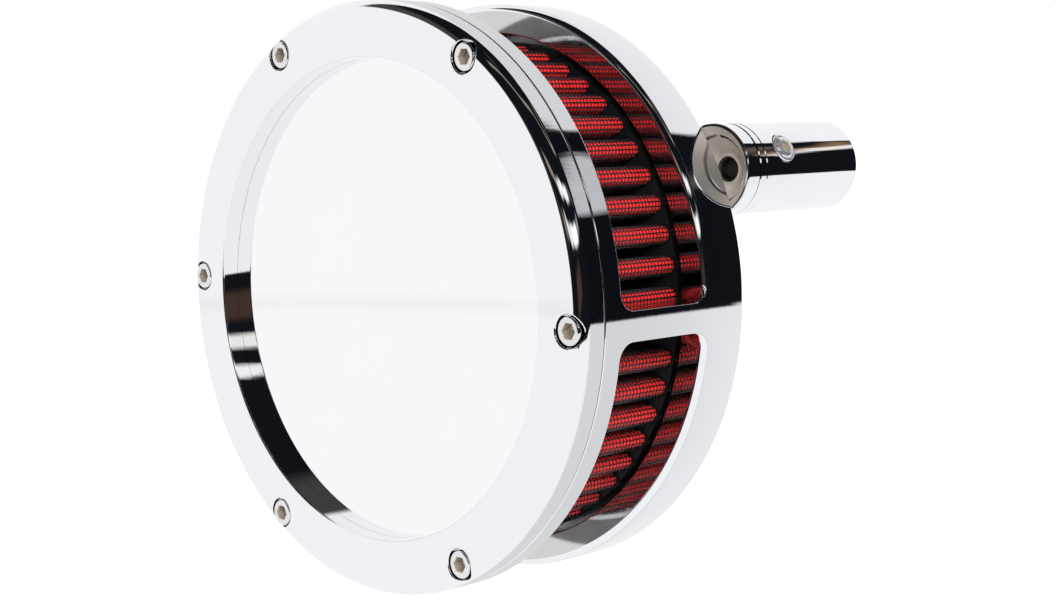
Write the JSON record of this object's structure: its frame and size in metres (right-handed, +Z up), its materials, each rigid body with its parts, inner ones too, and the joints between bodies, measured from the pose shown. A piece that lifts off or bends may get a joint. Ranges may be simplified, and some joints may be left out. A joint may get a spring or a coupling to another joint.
{
  "type": "motorcycle air cleaner",
  "caption": "Round open-sided motorcycle air cleaner: chrome cover ring with a mirror insert, windowed cage, pleated cotton filter, back plate and tubular standoffs.",
  "frame": {"origin": "centre of the throttle-body seat, on the back plate's rear face", "axes": "+Y along the cleaner's axis, from the cover towards the engine; +Z up as fitted; +X to the right seen from the cover side"},
  "size_m": [0.1734, 0.1169, 0.1712],
  "materials": {
    "chrome": "mirror-polished chrome plate",
    "screw_chrome": "chrome plate",
    "aluminium": "plain satin",
    "cotton": "red-oiled woven cotton",
    "wire": "black epoxy-coated wire",
    "urethane": "semi-gloss moulded",
    "rubber": "matt"
  },
  "bodies": {
    "base": {"cage": "chrome", "back_plate": "chrome", "flange_seal": "rubber", "throttle_seal": "rubber", "flange_screw_1": "aluminium", "flange_screw_2": "aluminium", "flange_screw_3": "aluminium", "throttle_screw_1": "aluminium", "throttle_screw_2": "aluminium", "throttle_screw_3": "aluminium", "standoff_right": "chrome", "head_seal_right": "rubber", "breather_plug_right": "screw_chrome", "plug_washer_right": "aluminium", "standoff_left": "chrome", "head_seal_left": "rubber", "breather_plug_left": "screw_chrome", "plug_washer_left": "aluminium"},
    "cover": {"cover_ring": "chrome", "cover_insert": "chrome", "insert_snap_ring": "aluminium"},
    "filter": {"filter_wire_mesh": "wire", "filter_gauze": "cotton", "filter_inner_screen": "wire", "filter_front_cap": "urethane", "filter_rear_cap": "urethane"},
    "cover_screws": {"cover_screw_1": "screw_chrome", "cover_screw_2": "screw_chrome", "cover_screw_3": "screw_chrome", "cover_screw_4": "screw_chrome", "cover_screw_5": "screw_chrome", "cover_screw_6": "screw_chrome"}
  },
  "joints": [
    {"name": "cover_slide", "type": "slide", "parent": "base", "child": "cover", "axis": [0, -1, 0], "range_m": [0, 0.1]},
    {"name": "filter_slide", "type": "slide", "parent": "base", "child": "filter", "axis": [0, -1, 0], "range_m": [0, 0.06]},
    {"name": "screws_slide", "type": "slide", "parent": "base", "child": "cover_screws", "axis": [0, -1, 0], "range_m": [0, 0.135]}
  ],
  "couplings": [
    {"joint": "filter_slide", "follows": "cover_slide", "ratio": 0.6},
    {"joint": "screws_slide", "follows": "cover_slide", "ratio": 1.35}
  ]
}
